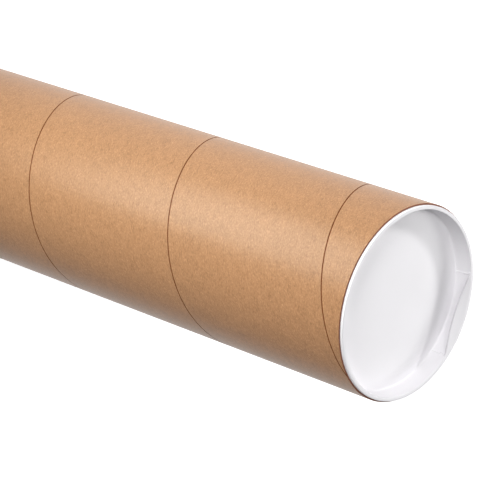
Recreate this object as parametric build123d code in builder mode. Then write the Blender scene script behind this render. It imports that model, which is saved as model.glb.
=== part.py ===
"""Kraft cardboard mailing tube with two push-in plastic caps.

The tube stands on its capped lower end. +Z runs up its axis, and the origin is
the centre of the lower cap's front face. The finger tabs of both caps are on
the +Y side. Sizes are in millimetres and angles in degrees.
"""

from build123d import *

import os
from math import acos, degrees, radians, tan

# Tube: spiral-wound paperboard, cut square at both ends
BORE_DIAMETER = 152.4
TUBE_WALL = 3.175
TUBE_LENGTH = 609.6
TUBE_EDGE_BREAK = 0.2

# Cap flange: the ring that stops against the cut end of the tube
FLANGE_SETBACK = 1.2
FLANGE_THICKNESS = 2.6
RIM_ROUNDING = 0.6
FLANGE_EDGE_ROUNDING = 0.3

# Cap plug: the drafted dish that fits the bore
PLUG_CLEARANCE = 0.1
PLUG_WALL = 1.4
PLUG_DRAFT = 5.6
RECESS_DEPTH = 14.5
FLOOR_THICKNESS = 1.4
FLOOR_CORNER_RADIUS = 1.6
LEAD_IN_RADIUS = 1.0

# Grip bead: the ring around the plug that bears on the bore near its foot
BEAD_RADIUS = 1.0
BEAD_DEPTH = 9.0

# Finger tab: a ledge that slopes in from the rim to a straight free edge
TAB_REACH = 8.3
TAB_SLOPE = 23.4
TAB_THICKNESS = 1.2
TAB_EDGE_ROUNDING = 0.4

# Tab ribs: one at each end of the tab, down the wall of the recess
RIB_HEIGHT = 0.8
RIB_ARC = 0.9

# Derived sizes. A cap's own frame has z = 0 on the face that meets the tube,
# with the flange above it and the plug below.
bore_radius = BORE_DIAMETER / 2
tube_radius = bore_radius + TUBE_WALL
tube_bottom = FLANGE_THICKNESS
tube_top = tube_bottom + TUBE_LENGTH

flange_radius = tube_radius - FLANGE_SETBACK
plug_radius = bore_radius - PLUG_CLEARANCE
draft = tan(radians(PLUG_DRAFT))
floor_z = FLANGE_THICKNESS - RECESS_DEPTH
foot_z = floor_z - FLOOR_THICKNESS


def outside_radius(z):
    """Radius of the plug's outer wall at height z in a cap's own frame."""
    return plug_radius + z * draft


def recess_radius(z):
    """Radius of the recess's drafted wall at height z in a cap's own frame."""
    return outside_radius(z) - PLUG_WALL


rim_radius = recess_radius(FLANGE_THICKNESS)
tab_edge = rim_radius - TAB_REACH
tab_fall = tan(radians(TAB_SLOPE))
ledge_inside = tab_edge - TAB_THICKNESS
ledge_inside_z = FLANGE_THICKNESS - (rim_radius - ledge_inside) * tab_fall
tab_root = rim_radius + PLUG_WALL / 2
rib_crest = rim_radius - RIB_HEIGHT
rib_top = FLANGE_THICKNESS - RIB_HEIGHT * tab_fall - TAB_THICKNESS / 2
rib_angle = degrees(acos(tab_edge / rib_crest))

# The tube
with BuildPart() as tube:
    with BuildSketch(Plane.XY.offset(tube_bottom)):
        Circle(tube_radius)
        Circle(bore_radius, mode=Mode.SUBTRACT)
    extrude(amount=TUBE_LENGTH)
    chamfer(tube.edges().filter_by(GeomType.CIRCLE), TUBE_EDGE_BREAK)

# The tab's ledge: a ring sloping in from the rim, kept beyond its free edge
with BuildPart() as ledge:
    with BuildSketch(Plane.XZ):
        with BuildLine():
            Polyline(
                (tab_root, FLANGE_THICKNESS),
                (rim_radius, FLANGE_THICKNESS),
                (ledge_inside, ledge_inside_z),
                (ledge_inside, ledge_inside_z - TAB_THICKNESS),
                (rim_radius, FLANGE_THICKNESS - TAB_THICKNESS),
                (tab_root, FLANGE_THICKNESS - TAB_THICKNESS),
                close=True,
            )
        make_face()
    revolve(axis=Axis.Z)
    split(bisect_by=Plane.ZX.offset(tab_edge), keep=Keep.TOP)
    free_edge = ledge.faces().filter_by(Axis.Y).sort_by(Axis.Y)[0]
    fillet(free_edge.edges().filter_by(GeomType.HYPERBOLA), TAB_EDGE_ROUNDING)

# One rib, on the +X side
with BuildPart() as rib:
    with BuildSketch(Plane.XZ):
        with BuildLine():
            Polyline(
                (recess_radius(floor_z) - RIB_HEIGHT, floor_z - FLOOR_THICKNESS / 2),
                (recess_radius(rib_top) - RIB_HEIGHT, rib_top),
                (tab_root, rib_top),
                (recess_radius(floor_z) + PLUG_WALL / 2, floor_z - FLOOR_THICKNESS / 2),
                close=True,
            )
        make_face()
    revolve(axis=Axis.Z, revolution_arc=RIB_ARC)

# The cap's section turned about its axis
with BuildPart() as cap:
    with BuildSketch(Plane.XZ) as section:
        with BuildLine():
            Polyline(
                (0, floor_z),
                (recess_radius(floor_z), floor_z),
                (rim_radius, FLANGE_THICKNESS),
                (flange_radius, FLANGE_THICKNESS),
                (flange_radius, 0),
                (plug_radius, 0),
                (outside_radius(foot_z), foot_z),
                (0, foot_z),
                close=True,
            )
        make_face()
        for corner, radius in (
            ((recess_radius(floor_z), floor_z), FLOOR_CORNER_RADIUS),
            ((rim_radius, FLANGE_THICKNESS), RIM_ROUNDING),
            ((flange_radius, FLANGE_THICKNESS), RIM_ROUNDING),
            ((flange_radius, 0), FLANGE_EDGE_ROUNDING),
            ((outside_radius(foot_z), foot_z), LEAD_IN_RADIUS),
        ):
            fillet(section.vertices().sort_by_distance(corner)[0], radius)
        with Locations((plug_radius - BEAD_RADIUS, -BEAD_DEPTH)):
            Circle(BEAD_RADIUS)
    revolve(axis=Axis.Z)
    add(ledge.part)
    first_rib = 90 - rib_angle - RIB_ARC / 2
    with PolarLocations(0, 2, first_rib, 2 * rib_angle, endpoint=True):
        add(rib.part)

with BuildPart() as top_cap:
    with Locations((0, 0, tube_top)):
        add(cap.part)

with BuildPart() as bottom_cap:
    with Locations(Location((0, 0, tube_bottom), (0, 180, 0))):
        add(cap.part)

os.makedirs("parts", exist_ok=True)

tube.part.label = "tube"
export_step(tube.part, "parts/tube.step")

top_cap.part.label = "top_cap"
export_step(top_cap.part, "parts/top_cap.step")

bottom_cap.part.label = "bottom_cap"
export_step(bottom_cap.part, "parts/bottom_cap.step")
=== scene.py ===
"""Dresses the cardboard mailing tube and its two push-in caps for the studio.

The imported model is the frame. Each of its three nodes is replaced here by a
finished piece in the same place: the spiral-wound kraft tube with the butt seam
of its outer ply, and the two moulded caps with their rims, beads and finger tabs.
Lengths are in metres and angles in degrees unless a name says otherwise.
"""

import logging
from collections.abc import Callable, Sequence
from dataclasses import dataclass, field
from enum import Enum
from math import acos, atan2, cos, hypot, pi, radians, sin, sqrt, tan

import bmesh
import bpy
from mathutils import Matrix, Vector


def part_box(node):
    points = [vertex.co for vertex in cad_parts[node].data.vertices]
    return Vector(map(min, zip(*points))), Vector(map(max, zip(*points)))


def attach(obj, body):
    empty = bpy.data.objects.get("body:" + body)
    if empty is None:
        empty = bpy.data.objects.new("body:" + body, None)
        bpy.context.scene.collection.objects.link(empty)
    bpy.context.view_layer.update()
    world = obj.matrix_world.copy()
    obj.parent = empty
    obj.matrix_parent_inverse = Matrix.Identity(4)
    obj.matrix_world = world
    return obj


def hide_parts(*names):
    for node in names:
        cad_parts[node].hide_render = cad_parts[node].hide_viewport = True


LOG = logging.getLogger("mailing_tube")
MM = 0.001

# Points this near each other count as one, and points this near a plane lie on it
WELD = 1e-6
ON_PLANE = 1e-5

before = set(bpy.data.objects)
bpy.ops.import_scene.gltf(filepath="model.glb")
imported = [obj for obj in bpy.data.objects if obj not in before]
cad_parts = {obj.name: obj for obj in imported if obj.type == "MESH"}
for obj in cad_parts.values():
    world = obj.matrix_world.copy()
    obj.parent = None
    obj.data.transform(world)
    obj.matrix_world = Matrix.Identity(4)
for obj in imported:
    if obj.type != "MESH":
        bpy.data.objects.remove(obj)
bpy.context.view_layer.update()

Colour = tuple[float, float, float]
Station = tuple[float, float]
Place = Callable[[Vector], bool]


# --------------------------------------------------------------- workbench


class Keep(Enum):
    """Which side of a cutting plane stays."""

    ABOVE = "above"
    BELOW = "below"


class Workpiece:
    """A mesh object that is opened in edit mode and shaped with operators."""

    def __init__(self, name: str, body: bpy.types.Object) -> None:
        """Takes a new object as the start of a piece.

        Args:
            name: The piece's name.
            body: The object.
        """
        self.body = body
        body.name = name
        body.data.name = name
        Workpiece.pick_only(body)
        bpy.ops.object.transform_apply(location=True, rotation=True, scale=True)

    @staticmethod
    def put_down() -> None:
        """Deselects every object."""
        bpy.ops.object.select_all(action="DESELECT")

    @staticmethod
    def pick_only(*objects: bpy.types.Object) -> None:
        """Selects only these objects, and makes the first one active.

        Args:
            *objects: The objects.
        """
        Workpiece.put_down()
        for each in objects:
            each.select_set(True)
        bpy.context.view_layer.objects.active = objects[0]

    @classmethod
    def ring(cls, name: str, station: Station, sides: int) -> "Workpiece":
        """Starts a turned piece from a circle.

        Args:
            name: The piece's name.
            station: The circle's radius and height.
            sides: How many sides the circle has.

        Returns:
            The new piece.
        """
        cls.put_down()
        bpy.ops.mesh.primitive_circle_add(
            vertices=sides, radius=station[0], location=(0, 0, station[1])
        )
        return cls(name, bpy.context.object)

    @classmethod
    def block(cls, name: str, size: Vector, centre: Vector) -> "Workpiece":
        """Starts a piece from a block.

        Args:
            name: The piece's name.
            size: The block's three sizes.
            centre: Its middle.

        Returns:
            The new piece.
        """
        cls.put_down()
        bpy.ops.mesh.primitive_cube_add(size=1, location=centre, scale=size)
        return cls(name, bpy.context.object)

    @classmethod
    def line(cls, name: str, radius: float, low: float, high: float) -> "Workpiece":
        """Starts a piece from one upright edge, which is what is left of a plane.

        Args:
            name: The piece's name.
            radius: The edge's distance from the axis, towards +X.
            low: Height of its lower end.
            high: Height of its upper end.

        Returns:
            The new piece.
        """
        cls.put_down()
        side = high - low
        bpy.ops.mesh.primitive_plane_add(
            size=side,
            location=(radius + side / 2, 0, (low + high) / 2),
            rotation=(pi / 2, 0, 0),
        )
        piece = cls(name, bpy.context.object)
        piece.open()
        piece.select_vertices(lambda p: p.x > radius + side / 2)
        bpy.ops.mesh.delete(type="VERT")
        piece.close()
        return piece

    def open(self) -> None:
        """Enters edit mode with nothing selected."""
        Workpiece.pick_only(self.body)
        bpy.ops.object.mode_set(mode="EDIT")
        bpy.ops.mesh.select_all(action="DESELECT")

    def close(self) -> None:
        """Leaves edit mode."""
        bpy.ops.object.mode_set(mode="OBJECT")

    def _select(self, mode: str, wanted: Callable[[bmesh.types.BMesh], list]) -> int:
        """Selects elements of the open mesh, and nothing else.

        Args:
            mode: VERT, EDGE or FACE.
            wanted: Gives the elements to select.

        Returns:
            How many were selected.
        """
        bpy.ops.mesh.select_mode(type=mode)
        bpy.ops.mesh.select_all(action="DESELECT")
        work = bmesh.from_edit_mesh(self.body.data)
        found = wanted(work)
        for element in found:
            element.select_set(True)
        work.select_flush_mode()
        bmesh.update_edit_mesh(self.body.data)
        return len(found)

    def select_vertices(self, place: Place) -> int:
        """Selects the vertices whose place passes the test."""
        return self._select("VERT", lambda m: [v for v in m.verts if place(v.co)])

    def select_edges(self, place: Place) -> int:
        """Selects the edges that have both ends where the test says."""
        return self._select(
            "EDGE", lambda m: [e for e in m.edges if all(place(v.co) for v in e.verts)]
        )

    def select_rim(self, place: Place) -> int:
        """Selects the open boundary edges that have both ends where the test says."""
        return self._select(
            "EDGE",
            lambda m: [
                e for e in m.edges if e.is_boundary and all(place(v.co) for v in e.verts)
            ],
        )

    def extrude_ring(self, start: Station, end: Station) -> None:
        """Extrudes the selected ring to its next station, up or down and in or out.

        Args:
            start: The radius and height that the ring has.
            end: The radius and height that it gets.
        """
        bpy.ops.mesh.extrude_edges_move(
            TRANSFORM_OT_translate={"value": (0, 0, end[1] - start[1])}
        )
        scale = end[0] / start[0]
        bpy.ops.transform.resize(value=(scale, scale, 1), center_override=(0, 0, end[1]))

    def turn(self, stations: Sequence[Station]) -> None:
        """Extrudes the open piece's ring through all its stations.

        Args:
            stations: Radius and height of each ring, the first being the one that exists.
        """
        bpy.ops.mesh.select_all(action="SELECT")
        for start, end in zip(stations, stations[1:]):
            self.extrude_ring(start, end)

    def close_pole(self, station: Station) -> None:
        """Draws the ring at a station together into a pole on the axis.

        Args:
            station: Radius and height of the ring.
        """
        self.select_edges(at_station(station))
        bpy.ops.mesh.extrude_edges_move(TRANSFORM_OT_translate={"value": (0, 0, 0)})
        bpy.ops.mesh.merge(type="CENTER")

    def round_ring(self, station: Station, radius: float, corner: float, steps: int) -> None:
        """Bevels the ring of edges at a station to a round corner.

        Args:
            station: Radius and height of the ring.
            radius: The rounding's radius.
            corner: The angle between the two faces that meet there, in degrees.
            steps: Segments of the rounding.
        """
        if not self.select_edges(at_station(station)):
            raise ValueError(f"no ring at {station}")
        bpy.ops.mesh.bevel(
            offset=radius / tan(radians(corner) / 2),
            offset_type="OFFSET",
            segments=steps,
            profile=0.5,
            affect="EDGES",
        )

    def cut(self, point: Vector, normal: Vector, keep: Keep, fill: bool) -> None:
        """Bisects the whole open piece with a plane and clears one side of it.

        Args:
            point: A point on the plane.
            normal: The plane's normal.
            keep: The side along the normal that stays, or the one against it.
            fill: Whether the cut is closed with a face.
        """
        bpy.ops.mesh.select_all(action="SELECT")
        bpy.ops.mesh.bisect(
            plane_co=point,
            plane_no=normal,
            use_fill=fill,
            clear_inner=keep is Keep.ABOVE,
            clear_outer=keep is Keep.BELOW,
            threshold=1e-7,
        )

    def weld(self, distance: float = WELD) -> None:
        """Merges doubles over the whole open piece."""
        bpy.ops.mesh.select_all(action="SELECT")
        bpy.ops.mesh.remove_doubles(threshold=distance)

    def face_out(self) -> None:
        """Turns every face of the open piece outwards."""
        bpy.ops.mesh.select_all(action="SELECT")
        bpy.ops.mesh.normals_make_consistent(inside=False)

    def apply(self, kind: str, **settings: object) -> None:
        """Adds a modifier with its settings and applies it.

        Args:
            kind: The modifier's type.
            **settings: Its properties by name.
        """
        Workpiece.pick_only(self.body)
        modifier = self.body.modifiers.new(kind.title(), kind)
        for name, value in settings.items():
            setattr(modifier, name, value)
        bpy.ops.object.modifier_apply(modifier=modifier.name)

    def take_on(self, other: "Workpiece") -> None:
        """Unites another closed piece with this one, and removes the other.

        Args:
            other: The other piece.
        """
        self.apply("BOOLEAN", object=other.body, operation="UNION", solver="EXACT")
        mesh = other.body.data
        bpy.data.objects.remove(other.body)
        bpy.data.meshes.remove(mesh)

    def join(self, other: "Workpiece") -> None:
        """Joins another piece's mesh into this one.

        Args:
            other: The other piece, which is gone afterwards.
        """
        mesh = other.body.data
        Workpiece.pick_only(self.body, other.body)
        bpy.ops.object.join()
        if mesh.users == 0:
            bpy.data.meshes.remove(mesh)

    def copy(self, name: str) -> "Workpiece":
        """Gives a copy of the piece that has its own mesh.

        Args:
            name: The copy's name.

        Returns:
            The copy.
        """
        Workpiece.pick_only(self.body)
        bpy.ops.object.duplicate(linked=False)
        return Workpiece(name, bpy.context.object)

    def move(self, by: Vector) -> None:
        """Moves the piece's mesh, so that its object stays at the origin.

        Args:
            by: How far and which way.
        """
        Workpiece.pick_only(self.body)
        bpy.ops.transform.translate(value=by)
        bpy.ops.object.transform_apply(location=True, rotation=True, scale=True)

    def swing(self, turn: tuple[float, float, float]) -> None:
        """Turns the piece's mesh about the origin, so that its object stays unturned.

        Args:
            turn: Angles about the three axes, in radians.
        """
        self.body.rotation_euler = turn
        Workpiece.pick_only(self.body)
        bpy.ops.object.transform_apply(location=True, rotation=True, scale=True)

    def smooth(self, angle: float) -> None:
        """Shades the piece smooth, apart from edges sharper than an angle."""
        Workpiece.pick_only(self.body)
        bpy.ops.object.shade_smooth_by_angle(angle=radians(angle))


def at_station(station: Station, slack: float = 2e-6) -> Place:
    """Gives a test for points that lie on one ring.

    Args:
        station: The ring's radius and height.
        slack: How far a point may be off it.

    Returns:
        The test.
    """
    return lambda p: (
        abs(hypot(p.x, p.y) - station[0]) < slack and abs(p.z - station[1]) < slack
    )


# ----------------------------------------------------------- shader sheets


class Value:
    """One number socket in a node tree, with Python's operators as Math nodes."""

    def __init__(self, sheet: "Sheet", socket: bpy.types.NodeSocket) -> None:
        """Wraps a socket of a sheet."""
        self.sheet = sheet
        self.socket = socket

    def _math(self, operation: str, *values: "Value | float") -> "Value":
        """Adds a Math node for an operation on some values."""
        return self.sheet.add(
            "ShaderNodeMath", {"operation": operation}, dict(enumerate(values))
        )

    def __add__(self, other: "Value | float") -> "Value":
        """Adds."""
        return self._math("ADD", self, other)

    def __radd__(self, other: float) -> "Value":
        """Adds to a number."""
        return self._math("ADD", other, self)

    def __sub__(self, other: "Value | float") -> "Value":
        """Subtracts."""
        return self._math("SUBTRACT", self, other)

    def __rsub__(self, other: float) -> "Value":
        """Subtracts from a number."""
        return self._math("SUBTRACT", other, self)

    def __mul__(self, other: "Value | float") -> "Value":
        """Multiplies."""
        return self._math("MULTIPLY", self, other)

    def __rmul__(self, other: float) -> "Value":
        """Multiplies a number."""
        return self._math("MULTIPLY", other, self)

    def __pow__(self, other: float) -> "Value":
        """Raises to a power."""
        return self._math("POWER", self, other)

    def sine(self) -> "Value":
        """Gives the sine."""
        return self._math("SINE", self)

    def ramp(self, low: float, high: float) -> "Value":
        """Gives 0 below low, 1 above high, and a smooth rise between them.

        Args:
            low: Where the rise starts. It may be above high, for a fall.
            high: Where it ends.

        Returns:
            The share.
        """
        return self.sheet.add(
            "ShaderNodeMapRange",
            {"interpolation_type": "SMOOTHSTEP", "clamp": True},
            {"Value": self, "From Min": low, "From Max": high, "To Min": 0.0, "To Max": 1.0},
            "Result",
        )


class Sheet:
    """The node tree of one material, or of the room."""

    def __init__(self, owner: bpy.types.Material | bpy.types.World) -> None:
        """Takes on a material or a world, and empties its node tree.

        Args:
            owner: The material or the world.
        """
        owner.use_nodes = True
        self.owner = owner
        self.tree = owner.node_tree
        self.tree.nodes.clear()

    def node(
        self, kind: str, settings: dict[str, object], inputs: dict[str | int, object]
    ) -> bpy.types.Node:
        """Adds one node.

        Args:
            kind: The node's type.
            settings: Its properties, which are set first.
            inputs: Numbers, colours or other values by socket.

        Returns:
            The node.
        """
        node = self.tree.nodes.new(kind)
        for name, setting in settings.items():
            setattr(node, name, setting)
        for name, value in inputs.items():
            socket = node.inputs[name]
            if isinstance(value, Value):
                self.tree.links.new(value.socket, socket)
            elif socket.type == "RGBA":
                socket.default_value = (*value, 1.0)
            else:
                socket.default_value = value
        return node

    def add(
        self,
        kind: str,
        settings: dict[str, object],
        inputs: dict[str | int, object],
        output: str | int = 0,
    ) -> Value:
        """Adds one node and gives one of its outputs.

        Args:
            kind: The node's type.
            settings: Its properties, which are set first.
            inputs: Numbers, colours or other values by socket.
            output: The socket that is given back.

        Returns:
            That socket as a value.
        """
        return Value(self, self.node(kind, settings, inputs).outputs[output])

    def place(self) -> Value:
        """Gives the point in the object's own coordinates."""
        return self.add("ShaderNodeTexCoord", {}, {}, "Object")

    def parts(self, vector: Value) -> tuple[Value, Value, Value]:
        """Splits a vector into its three numbers."""
        split = self.add("ShaderNodeSeparateXYZ", {}, {0: vector})
        return tuple(Value(self, out) for out in split.socket.node.outputs)

    def scaled(self, vector: Value, by: tuple[float, float, float]) -> Value:
        """Multiplies a vector by three numbers."""
        return self.add(
            "ShaderNodeVectorMath", {"operation": "MULTIPLY"}, {0: vector, 1: by}
        )

    def noise(self, vector: Value, scale: float, detail: float, rough: float = 0.5) -> Value:
        """Gives noise from 0 to 1.

        Args:
            vector: Where it is read.
            scale: Features to the metre.
            detail: Octaves.
            rough: How strong the finer octaves are.

        Returns:
            The noise.
        """
        return self.add(
            "ShaderNodeTexNoise",
            {"noise_dimensions": "3D"},
            {"Vector": vector, "Scale": scale, "Detail": detail, "Roughness": rough},
            "Fac",
        )

    def blend(self, share: Value | float, first: Value | Colour, second: Value | Colour) -> Value:
        """Mixes two colours.

        Args:
            share: 0 for the first and 1 for the second.
            first: A colour or a value.
            second: A colour or a value.

        Returns:
            The mixed colour.
        """
        return self.add(
            "ShaderNodeMix",
            {"data_type": "RGBA", "clamp_factor": True},
            {0: share, 6: first, 7: second},
            2,
        )

    def shade(self, share: Value, colour: Value) -> Value:
        """Multiplies a colour by a number that varies.

        Args:
            share: The number.
            colour: The colour.

        Returns:
            The darker or lighter colour.
        """
        grey = self.add("ShaderNodeCombineColor", {}, {0: share, 1: share, 2: share})
        return self.add(
            "ShaderNodeVectorMath", {"operation": "MULTIPLY"}, {0: colour, 1: grey}
        )

    def relief(self, height: Value, depth: float) -> Value:
        """Gives normals bumped by a height.

        Args:
            height: The height, from 0 to 1.
            depth: What 1 stands for, in metres.

        Returns:
            The normal.
        """
        return self.add(
            "ShaderNodeBump", {}, {"Height": height, "Distance": depth, "Strength": 1.0}
        )

    def finish(self, **sockets: object) -> bpy.types.Material:
        """Adds the shader and the output.

        Args:
            **sockets: The shader's values, with _ for a space in a name.

        Returns:
            The finished material.
        """
        shader = self.add(
            "ShaderNodeBsdfPrincipled",
            {},
            {name.replace("_", " "): value for name, value in sockets.items()},
        )
        self.node("ShaderNodeOutputMaterial", {}, {"Surface": shader})
        return self.owner


# ---------------------------------------------------------------- finishes


@dataclass(frozen=True)
class KraftPaper:
    """The brown paper of the tube's outer ply, seen along its own strip.

    The strip attribute holds the distance along the ply, the distance across it
    and the distance from the tube's axis.
    """

    base: Colour = (0.328, 0.166, 0.079)
    dark_fibre: Colour = (0.2, 0.088, 0.036)
    pale_fibre: Colour = (0.425, 0.245, 0.13)
    seam_shade: Colour = (0.13, 0.03, 0.004)
    board: Colour = (0.27, 0.115, 0.075)
    board_dark: Colour = (0.13, 0.05, 0.032)
    bore_paper: Colour = (0.36, 0.2, 0.1)
    roughness: float = 0.36
    raw_roughness: float = 0.35
    ply: float = 0.4 * MM
    cut_band: float = 0.12 * MM
    cut_fade: float = 0.05 * MM
    relief: float = 0.08 * MM

    def made(self, name: str, tube: "KraftTube") -> bpy.types.Material:
        """Builds the material.

        Args:
            name: The material's name.
            tube: The tube that it covers.

        Returns:
            The material.
        """
        sheet = Sheet(bpy.data.materials.new(name))
        strip = sheet.add(
            "ShaderNodeAttribute", {"attribute_type": "GEOMETRY", "attribute_name": "strip"}, {}, "Vector"
        )
        place = sheet.place()
        x, y, height = sheet.parts(place)
        radius = (x * x + y * y) ** 0.5
        sunk = tube.outside - radius

        fibre = sheet.noise(sheet.scaled(strip, (0.6, 1.0, 1.0)), 820, 3, 0.8)
        fleck = sheet.noise(sheet.scaled(strip, (0.5, 1.0, 1.0)), 420, 4, 0.75)
        cloud = sheet.noise(sheet.scaled(strip, (0.7, 1.0, 1.0)), 150, 5, 0.8)
        drift = sheet.noise(strip, 9, 2)

        light = fibre.ramp(0.5, 0.8)
        dark = fleck.ramp(0.5, 0.25)
        paper = sheet.blend(light * 0.5, self.base, self.pale_fibre)
        paper = sheet.blend(dark * 0.5, paper, self.dark_fibre)
        paper = sheet.shade(0.08 + fibre * 1.15 + cloud * 0.6 + drift * 0.08, paper)

        in_seam = sunk.ramp(0.12 * tube.seam_depth, 0.75 * tube.seam_depth)
        paper = sheet.blend(in_seam, paper, self.seam_shade)

        pulp = sheet.noise(place, 900, 3, 0.6)
        layers = (sunk * (2 * pi / self.ply)).sine().ramp(0.1, 1.0)
        raw = sheet.blend(layers * 0.7, self.board, self.board_dark)
        raw = sheet.shade(0.7 + pulp * 0.6, raw)
        at_top = (height - (tube.high - self.cut_band)).ramp(0, self.cut_fade)
        at_foot = ((tube.low + self.cut_band) - height).ramp(0, self.cut_fade)
        at_end = at_top + at_foot

        inner = sheet.shade(0.75 + fleck * 0.5, sheet.blend(dark, self.bore_paper, self.dark_fibre))
        inside = (radius - tube.bore).ramp(0.9 * MM, 0.5 * MM)
        paper = sheet.blend(inside, paper, inner)
        paper = sheet.blend(at_end, paper, raw)

        bare = inside + in_seam + at_end
        rough = self.roughness + 0.14 * (fleck - 0.5) + bare * self.raw_roughness
        normal = sheet.relief(fibre * 0.6 + fleck * 0.4 + cloud * 0.3, self.relief)
        return sheet.finish(
            Base_Color=paper, Roughness=rough, Normal=normal, Specular_IOR_Level=0.16
        )


@dataclass(frozen=True)
class WhitePolyethylene:
    """The satin white plastic of the moulded caps, with a painted shade line along the tab's free edge.
    """

    base: Colour = (0.85, 0.835, 0.86)
    worn: Colour = (0.79, 0.78, 0.795)
    # Painted shade: the colour of the thin dark line along the front of the tab's free edge, where shade
    # falls in the gap under it. The four sizes below place it and fade it out.
    painted_edge_shade: Colour = (0.66, 0.64, 0.67)
    roughness: float = 0.36
    turning: float = 1.1 * MM
    relief: float = 0.02 * MM
    painted_edge_shade_shift: float = 0.1 * MM
    painted_edge_shade_width: tuple[float, float] = (0.34 * MM, 0.2 * MM)
    painted_edge_shade_foot: tuple[float, float] = (7 * MM, 6 * MM)
    painted_edge_shade_head: tuple[float, float] = (0.2 * MM, 1.5 * MM)

    def made(self, name: str, front: float, tab_edge: float) -> bpy.types.Material:
        """Builds the material.

        Args:
            name: The material's name.
            front: Height of the cap's front face.
            tab_edge: Distance of the tab's free edge from the axis, towards +Y.

        Returns:
            The material.
        """
        sheet = Sheet(bpy.data.materials.new(name))
        place = sheet.place()
        x, y, height = sheet.parts(place)
        radius = (x * x + y * y) ** 0.5

        flow = sheet.noise(place, 38, 3, 0.5)
        grain = sheet.noise(place, 1300, 2, 0.5)
        scuff = sheet.noise(sheet.scaled(place, (1.0, 0.25, 1.0)), 420, 4, 0.7).ramp(0.58, 0.75)
        turned = (radius * (2 * pi / self.turning)).sine() * 0.5 + 0.5

        # Painted shade: a narrow darker band just in front of the tab's free edge, fading out near the
        # rim's face and again deeper in the recess.
        depth = ((height - front) ** 2) ** 0.5
        aside = ((y - (tab_edge + self.painted_edge_shade_shift)) ** 2) ** 0.5
        painted_edge_shade = aside.ramp(*self.painted_edge_shade_width) * depth.ramp(*self.painted_edge_shade_foot)
        painted_edge_shade = painted_edge_shade * depth.ramp(*self.painted_edge_shade_head)

        colour = sheet.blend(scuff * 0.3 + (flow - 0.5) * 0.25 + 0.1, self.base, self.worn)
        colour = sheet.blend(painted_edge_shade, colour, self.painted_edge_shade)
        rough = self.roughness + 0.08 * (flow - 0.5) + 0.12 * scuff
        normal = sheet.relief(grain * 0.35 + flow * 3.0 + turned * 0.06, self.relief)
        return sheet.finish(
            Base_Color=colour,
            Roughness=rough,
            Normal=normal,
            Specular_IOR_Level=0.5,
            IOR=1.5,
        )


# ------------------------------------------------------------------ pieces


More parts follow.
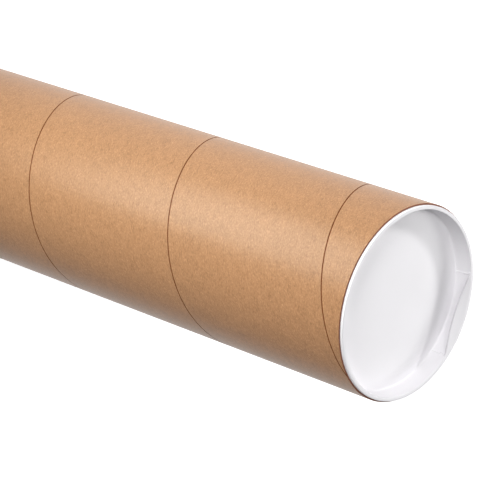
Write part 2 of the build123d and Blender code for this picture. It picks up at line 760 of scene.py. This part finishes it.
@dataclass
class KraftTube:
    """The spiral-wound tube: outer ply with its seam, bore, and cut ends."""

    low: float
    high: float
    outside: float
    wall: float = 3.175 * MM
    edge_break: float = 0.2 * MM
    pitch: float = 163.1 * MM
    seam_from_top: float = 106.4 * MM
    seam_width: float = 1.0 * MM
    seam_depth: float = 0.3 * MM
    bore_seam_width: float = 1.2 * MM
    bore_seam_depth: float = 0.2 * MM
    bore_seam_shift: float = 61 * MM
    lip: float = 0.1 * MM
    turns: int = 6
    steps: int = 240
    paper: KraftPaper = field(default_factory=KraftPaper)

    @property
    def bore(self) -> float:
        """The bore's radius."""
        return self.outside - self.wall

    @property
    def start(self) -> float:
        """Height of the lower edge of the ply's first turn, on the +X side."""
        seam_at_x = self.high - self.seam_from_top - self.pitch / 4
        return seam_at_x - self.pitch * (self.turns - 1)

    def ply(self, name: str, radius: float, start: float, width: float, depth: float) -> Workpiece:
        """Winds one ply with an open butt seam between its turns.

        Args:
            name: The ply's name.
            radius: The ply's radius.
            start: Height of the seam's lower lip where the winding starts.
            width: The seam's width along the axis.
            depth: How deep the seam is, with a minus sign for a seam in the bore.

        Returns:
            The open wall, cut square at both ends.
        """
        piece = Workpiece.line(name, radius - depth, start, start + width)
        piece.open()
        lip = min(self.lip, abs(depth) / 2)
        piece.select_vertices(lambda p: p.z > start + width / 2)
        sign = 1 if depth > 0 else -1
        for dx, dz in (
            (depth - sign * lip, 0.0),
            (sign * lip, lip),
            (0.0, self.pitch - width - 2 * lip),
            (-sign * lip, lip),
            (sign * lip - depth, 0.0),
        ):
            bpy.ops.mesh.extrude_vertices_move(TRANSFORM_OT_translate={"value": (dx, 0, dz)})
        piece.close()
        piece.apply(
            "SCREW",
            axis="Z",
            angle=2 * pi,
            screw_offset=self.pitch,
            iterations=self.turns,
            steps=self.steps,
            render_steps=self.steps,
            use_smooth_shade=True,
        )
        piece.open()
        piece.weld()
        for height, keep in (
            (self.low + self.edge_break, Keep.ABOVE),
            (self.high - self.edge_break, Keep.BELOW),
        ):
            piece.cut(Vector((0, 0, height)), Vector((0, 0, 1)), keep, fill=False)
        piece.weld()
        piece.close()
        return piece

    def break_edges(self, piece: Workpiece, radius: float, inwards: float) -> None:
        """Draws both open ends of a wall out to the cut faces over a small slope.

        Args:
            piece: The wall.
            radius: The wall's radius.
            inwards: How far the slope moves away from the wall's surface.
        """
        piece.open()
        for inner, outer in (
            (self.low + self.edge_break, self.low),
            (self.high - self.edge_break, self.high),
        ):
            piece.select_rim(lambda p: abs(p.z - inner) < ON_PLANE)
            piece.extrude_ring((radius, inner), (radius + inwards, outer))
        piece.close()

    def close_ends(self, piece: Workpiece) -> None:
        """Fills the flat ring between the outer and the bore wall at both cut ends.

        Args:
            piece: The tube, open at both ends.
        """
        piece.open()
        for height in (self.low, self.high):
            piece.select_rim(lambda p: abs(p.z - height) < ON_PLANE)
            bpy.ops.mesh.fill(use_beauty=True)
        piece.face_out()
        piece.close()

    def lay_strip(self, piece: Workpiece) -> None:
        """Writes where each face corner lies on the unwound strip of paper.

        Args:
            piece: The finished tube.
        """
        mesh = piece.body.data
        strip = mesh.attributes.new("strip", "FLOAT_VECTOR", "CORNER")
        values = [0.0] * (3 * len(mesh.loops))
        for face in mesh.polygons:
            middle = face.center
            turn = atan2(middle.y, middle.x)
            lap = (middle.z - self.start - self.pitch * turn / (2 * pi)) // self.pitch
            for corner in face.loop_indices:
                point = mesh.vertices[mesh.loops[corner].vertex_index].co
                angle = atan2(point.y, point.x)
                angle += 2 * pi * round((turn - angle) / (2 * pi))
                wound = angle + 2 * pi * lap
                values[3 * corner] = self.outside * wound
                values[3 * corner + 1] = point.z - self.start - self.pitch * wound / (2 * pi)
                values[3 * corner + 2] = hypot(point.x, point.y)
        strip.data.foreach_set("vector", values)

    def build(self) -> bpy.types.Object:
        """Builds and dresses the tube.

        Returns:
            Its object.
        """
        outer = self.ply(
            "kraft_tube", self.outside, self.start, self.seam_width, self.seam_depth
        )
        bore = self.ply(
            "bore_ply",
            self.bore,
            self.start + self.bore_seam_shift,
            self.bore_seam_width,
            -self.bore_seam_depth,
        )
        self.break_edges(outer, self.outside, -self.edge_break)
        self.break_edges(bore, self.bore, self.edge_break)
        outer.join(bore)
        self.close_ends(outer)
        self.lay_strip(outer)
        outer.smooth(30)
        tube = outer.body
        tube.data.materials.clear()
        tube.data.materials.append(self.paper.made("kraft_paper", self))
        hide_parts("tube")
        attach(tube, "tube")
        return tube


@dataclass
class EndCap:
    """A push-in cap: rim, recess, plug with its bead, finger tab and two ribs.

    It is turned about its own axis with the tube's cut end at height 0, the rim
    above it and the plug below, and the tab on the +Y side.
    """

    rim_outside: float
    rim_top: float
    plug_depth: float
    plug_radius: float = 76.1 * MM
    plug_wall: float = 1.4 * MM
    draft_angle: float = 5.6
    floor_thickness: float = 1.4 * MM
    floor_corner: float = 1.6 * MM
    rim_rounding: float = 0.6 * MM
    flange_rounding: float = 0.3 * MM
    lead_in: float = 1.0 * MM
    bead_radius: float = 1.0 * MM
    bead_depth: float = 9.0 * MM
    tab_reach: float = 8.3 * MM
    tab_slope: float = 23.4
    tab_thickness: float = 1.2 * MM
    tab_rounding: float = 0.4 * MM
    tab_root_rounding: float = 1.5 * MM
    tab_drop: float = 0.01 * MM
    rib_height: float = 0.5 * MM
    rib_width: float = 1.15 * MM
    rib_rounding: float = 0.38 * MM
    gate_radius: float = 1.6 * MM
    gate_depth: float = 0.25 * MM
    gate_slope: float = 0.2 * MM
    floor_rings: tuple[float, ...] = (8 * MM, 24 * MM, 48 * MM)
    foot_rings: tuple[float, ...] = (48 * MM, 20 * MM)
    bead_angles: tuple[float, ...] = (77.7, 55, 33, 11, -11, -33, -55, -72, -88.9)
    sides: int = 240
    plastic: WhitePolyethylene = field(default_factory=WhitePolyethylene)

    @property
    def draft(self) -> float:
        """How much the plug's radius grows for each unit of height."""
        return tan(radians(self.draft_angle))

    @property
    def floor_height(self) -> float:
        """Height of the recess's floor."""
        return self.floor_thickness - self.plug_depth

    def plug_at(self, height: float) -> float:
        """Gives the radius of the plug's outer wall at a height."""
        return self.plug_radius + height * self.draft

    def recess_at(self, height: float) -> float:
        """Gives the radius of the recess's wall at a height."""
        return self.plug_at(height) - self.plug_wall

    @property
    def rim_inside(self) -> float:
        """Radius of the rim's inner edge."""
        return self.recess_at(self.rim_top)

    @property
    def tab_edge(self) -> float:
        """Distance of the tab's straight free edge from the axis."""
        return self.rim_inside - self.tab_reach

    @property
    def tab_fall(self) -> float:
        """How much the tab falls for each unit it reaches inwards."""
        return tan(radians(self.tab_slope))

    def bead(self) -> list[Station]:
        """Turns the grip bead's section.

        Returns:
            Its stations, from its upper end to its lower end.
        """
        centre = self.plug_at(0) - self.bead_radius
        return [
            (
                centre + self.bead_radius * cos(radians(angle)),
                self.bead_radius * sin(radians(angle)) - self.bead_depth,
            )
            for angle in self.bead_angles
        ]

    def dish(self) -> Workpiece:
        """Turns the dish, from the middle of the recess's floor round to its underside.

        Returns:
            The dish as a closed piece.
        """
        floor, foot, top = self.floor_height, -self.plug_depth, self.rim_top
        gate = self.gate_radius
        stations = [
            *((ring, floor) for ring in self.floor_rings),
            (self.recess_at(floor), floor),
            (self.rim_inside, top),
            (self.rim_outside, top),
            (self.rim_outside, 0.0),
            (self.plug_radius, 0.0),
            *self.bead(),
            (self.plug_at(foot), foot),
            *((ring, foot) for ring in self.foot_rings),
            (gate + self.gate_slope, foot),
            (gate, foot + self.gate_depth),
            (gate / 2, foot + self.gate_depth),
        ]
        piece = Workpiece.ring("cap", stations[0], self.sides)
        piece.open()
        piece.turn(stations)
        piece.close_pole(stations[0])
        piece.close_pole(stations[-1])
        open_corner = 90 + self.draft_angle
        for station, radius, corner, steps in (
            ((self.recess_at(floor), floor), self.floor_corner, open_corner, 8),
            ((self.rim_inside, top), self.rim_rounding, open_corner, 6),
            ((self.rim_outside, top), self.rim_rounding, 90.0, 6),
            ((self.rim_outside, 0.0), self.flange_rounding, 90.0, 3),
            ((self.plug_at(foot), foot), self.lead_in, open_corner, 5),
        ):
            piece.round_ring(station, radius, corner, steps)
        piece.face_out()
        piece.close()
        return piece

    def ledge(self) -> Workpiece:
        """Turns the tab's sloping ledge and cuts it along its free edge.

        Returns:
            The ledge as a closed piece, rooted in the rim.
        """
        top, thick = self.rim_top, self.tab_thickness
        root = self.rim_inside + 0.5 * self.plug_wall
        inside = self.tab_edge - thick
        low = top - (self.rim_inside - inside) * self.tab_fall
        face = top - self.tab_drop
        stations = [
            (root, face),
            (self.rim_inside, face),
            (inside, low),
            (inside, low - thick),
            (self.rim_inside, top - thick),
            (root, top - thick),
            (root, face),
        ]
        piece = Workpiece.ring("ledge", stations[0], self.sides * 2)
        piece.open()
        piece.turn(stations)
        piece.weld()
        piece.round_ring(stations[1], self.tab_root_rounding, 180 - self.tab_slope, 4)
        piece.cut(Vector((0, self.tab_edge, 0)), Vector((0, 1, 0)), Keep.ABOVE, fill=True)
        piece.weld()
        piece.face_out()
        reach = sqrt(self.rim_inside**2 - self.tab_edge**2)
        piece.select_edges(
            lambda p: abs(p.y - self.tab_edge) < WELD and abs(p.x) < reach + 0.1 * MM
        )
        bpy.ops.mesh.bevel(
            offset=self.tab_rounding,
            offset_type="OFFSET",
            segments=4,
            profile=0.5,
            affect="EDGES",
            clamp_overlap=True,
        )
        piece.face_out()
        piece.close()
        return piece

    def rib(self, side: int) -> Workpiece:
        """Shapes the rib at one end of the tab.

        Args:
            side: 1 for the rib on the +X side, and -1 for the other.

        Returns:
            The rib as a closed piece, rooted in the wall and the floor.
        """
        top = self.rim_top - self.rib_height * self.tab_fall - self.tab_thickness / 2
        low = self.floor_height - self.floor_thickness / 2
        crest = self.recess_at(top) - self.rib_height
        back = self.rim_inside + 0.5 * self.plug_wall
        middle = Vector(((crest + back) / 2, 0, (top + low) / 2))
        piece = Workpiece.block(
            "rib", Vector((back - crest, self.rib_width, top - low)), middle
        )
        piece.open()
        piece.select_vertices(lambda p: p.z < middle.z)
        bpy.ops.transform.translate(value=((low - top) * self.draft, 0, 0))
        for wing in (1, -1):
            piece.select_edges(lambda p: p.x < middle.x and p.y * wing > 0)
            bpy.ops.mesh.bevel(
                offset=self.rib_rounding, segments=4, profile=0.5, affect="EDGES"
            )
        piece.face_out()
        piece.close()
        angle = acos(self.tab_edge / (self.rim_inside - self.rib_height))
        piece.swing((0, 0, pi / 2 - side * angle))
        return piece

    def moulding(self) -> Workpiece:
        """Puts the dish, the ledge and both ribs together.

        Returns:
            The whole cap in its own frame.
        """
        cap = self.dish()
        for side in (1, -1):
            cap.take_on(self.rib(side))
        cap.take_on(self.ledge())
        cap.open()
        cap.weld(1e-8)
        cap.close()
        return cap

    def dress(self, piece: Workpiece, node: str, front: float) -> bpy.types.Object:
        """Shades a placed cap, gives it its plastic and lets it ride.

        Args:
            piece: The cap in its place.
            node: The node that it stands for, which is also its body's name.
            front: Height of its front face.

        Returns:
            Its object.
        """
        piece.smooth(35)
        cap = piece.body
        cap.data.materials.clear()
        cap.data.materials.append(self.plastic.made(f"{node}_plastic", front, self.tab_edge))
        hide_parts(node)
        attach(cap, node)
        return cap

    def build(self, tube_low: float, tube_high: float) -> list[bpy.types.Object]:
        """Builds the cap once and puts one in each end of the tube.

        Args:
            tube_low: Height of the tube's lower cut end.
            tube_high: Height of its upper cut end.

        Returns:
            The upper and the lower cap.
        """
        upper = self.moulding()
        lower = upper.copy("moulded_cap_lower")
        upper.body.name = upper.body.data.name = "moulded_cap_upper"
        upper.move(Vector((0, 0, tube_high)))
        lower.swing((0, pi, 0))
        lower.move(Vector((0, 0, tube_low)))
        return [
            self.dress(upper, "top_cap", tube_high + self.rim_top),
            self.dress(lower, "bottom_cap", tube_low - self.rim_top),
        ]


# ------------------------------------------------------------------ studio


@dataclass(frozen=True)
class SoftLight:
    """A soft light that points at a target from a direction round it.

    The target is the camera's aim unless the light has its own. Radiance is how
    bright its face is, whatever its size.
    """

    name: str
    azimuth: float
    elevation: float
    distance: float
    width: float
    height: float
    radiance: float
    target: tuple[float, float, float] | None = None
    tint: Colour = (1.0, 1.0, 1.0)

    def hang(self, aim: Vector) -> bpy.types.Object:
        """Hangs the light.

        Args:
            aim: The point that it faces, unless it has a target of its own.

        Returns:
            Its object.
        """
        lamp = bpy.data.lights.new(self.name, "AREA")
        lamp.shape = "RECTANGLE"
        lamp.size, lamp.size_y = self.width, self.height
        lamp.energy = self.radiance * self.width * self.height * pi
        lamp.color = self.tint
        holder = bpy.data.objects.new(self.name, lamp)
        bpy.context.scene.collection.objects.link(holder)
        a, e = radians(self.azimuth), radians(self.elevation)
        out = Vector((cos(a) * cos(e), sin(a) * cos(e), sin(e)))
        holder.location = Vector(self.target or aim) + out * self.distance
        holder.rotation_mode = "QUATERNION"
        holder.rotation_quaternion = out.to_track_quat("Z", "Y")
        return holder


@dataclass
class Studio:
    """The pale floor, the soft lights and the camera."""

    aim: Vector = field(default_factory=lambda: Vector((0.00086, 0.0, 0.44648)))
    camera_azimuth: float = -3.783
    camera_elevation: float = 39.65
    camera_distance: float = 2.07715
    camera_roll: float = 109.134
    lens: float = 184.59
    film_width: float = 36.0
    floor_size: float = 40.0
    floor_colour: Colour = (0.9, 0.9, 0.9)
    floor_fleck: Colour = (0.88, 0.88, 0.88)
    floor_glow: float = 0.6
    glow_slant: float = 0.4
    glow_edge: tuple[float, float] = (-0.15, 0.11)
    glow_far: tuple[float, float] = (0.9, 2.2)
    world_colour: Colour = (1.0, 1.0, 1.0)
    world_level: float = 0.01
    floor_roughness: float = 0.9
    lights: tuple[SoftLight, ...] = (
        SoftLight(
            "key", azimuth=146, elevation=30, distance=3.0, width=0.35, height=0.35, radiance=102.0
        ),
        SoftLight(
            "front", azimuth=250, elevation=55, distance=3.4, width=1.2, height=1.2, radiance=8.0
        ),
        SoftLight(
            "low_left", azimuth=235, elevation=25, distance=3.4, width=1.2, height=0.8, radiance=7.6
        ),
        SoftLight(
            "low_right", azimuth=275, elevation=22, distance=3.4, width=0.8, height=0.8, radiance=16.0
        ),
        SoftLight(
            "top", azimuth=240, elevation=80, distance=3.0, width=1.2, height=1.2, radiance=2.4
        ),
        SoftLight(
            "floor_pool",
            azimuth=100,
            elevation=50,
            distance=2.2,
            width=0.8,
            height=0.8,
            radiance=5.0,
            target=(0.2, 0.5, 0.0),
        ),
        SoftLight(
            "low_strip",
            azimuth=0,
            elevation=-90,
            distance=3.0,
            width=0.6,
            height=0.6,
            radiance=12.6,
            target=(-0.305, -0.685, 3.01),
            tint=(0.92, 1.0, 0.94),
        ),
    )

    def lay_floor(self) -> bpy.types.Object:
        """Lays the floor that the tube stands on, which glows behind it and far off.

        Returns:
            Its object.
        """
        Workpiece.put_down()
        bpy.ops.mesh.primitive_plane_add(size=self.floor_size, location=(0, 0, 0))
        floor = bpy.context.object
        floor.name = "studio_floor"
        sheet = Sheet(bpy.data.materials.new("studio_paper"))
        place = sheet.place()
        grain = sheet.noise(place, 300, 2)
        x, y, _ = sheet.parts(place)
        behind = (y - x * self.glow_slant).ramp(*self.glow_edge)
        far = ((x * x + y * y) ** 0.5).ramp(*self.glow_far)
        floor.data.materials.append(
            sheet.finish(
                Base_Color=sheet.blend(grain, self.floor_colour, self.floor_fleck),
                Roughness=self.floor_roughness,
                Emission_Color=1 - (1 - behind) * (1 - far),
                Emission_Strength=self.floor_glow,
            )
        )
        return floor

    def set_world(self) -> None:
        """Gives the room its faint even light, and shows it as pale as the far floor."""
        room = Sheet(bpy.data.worlds.new("studio_world"))
        seen = room.add("ShaderNodeLightPath", {}, {}, "Is Camera Ray")
        level = seen * (self.floor_glow - self.world_level) + self.world_level
        light = room.add(
            "ShaderNodeBackground", {}, {"Color": self.world_colour, "Strength": level}
        )
        room.node("ShaderNodeOutputWorld", {}, {"Surface": light})
        bpy.context.scene.world = room.owner

    def set_camera(self) -> bpy.types.Object:
        """Sets the camera to look at the tube's upper end.

        Returns:
            The camera's object.
        """
        camera = bpy.data.cameras.new("camera")
        camera.sensor_width = self.film_width
        camera.lens = self.lens
        camera.clip_start, camera.clip_end = 0.05, 50
        holder = bpy.data.objects.new("camera", camera)
        bpy.context.scene.collection.objects.link(holder)
        a, e, r = (
            radians(self.camera_azimuth),
            radians(self.camera_elevation),
            radians(self.camera_roll),
        )
        back = Vector((sin(a) * cos(e), -cos(a) * cos(e), sin(e)))
        level = Vector((cos(a), sin(a), 0))
        rise = back.cross(level)
        right = level * cos(r) + rise * sin(r)
        up = rise * cos(r) - level * sin(r)
        place = self.aim + back * self.camera_distance
        turned = Matrix((right, up, back)).transposed().to_4x4()
        holder.matrix_world = Matrix.Translation(place) @ turned
        bpy.context.scene.camera = holder
        return holder

    def build(self) -> None:
        """Sets up the whole studio."""
        self.lay_floor()
        self.set_world()
        for light in self.lights:
            light.hang(self.aim)
        self.set_camera()
        settings = bpy.context.scene.view_settings
        settings.view_transform = "Standard"
        settings.look = "None"


# -------------------------------------------------------------------- main


def report(piece: bpy.types.Object) -> None:
    """Logs one piece's name and size."""
    mesh = piece.data
    LOG.info("%s: %d faces, %d vertices", piece.name, len(mesh.polygons), len(mesh.vertices))


def main() -> None:
    """Builds the tube, its caps and the studio, and reports each piece."""
    logging.basicConfig(level=logging.INFO, format="%(name)s: %(message)s")
    tube_low, tube_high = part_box("tube")
    cap_low, cap_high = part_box("top_cap")

    tube = KraftTube(low=tube_low.z, high=tube_high.z, outside=tube_high.x)
    report(tube.build())

    cap = EndCap(
        rim_outside=cap_high.x,
        rim_top=cap_high.z - tube_high.z,
        plug_depth=tube_high.z - cap_low.z,
    )
    for piece in cap.build(tube_low.z, tube_high.z):
        report(piece)

    Studio().build()


if __name__ == "__main__":
    main()
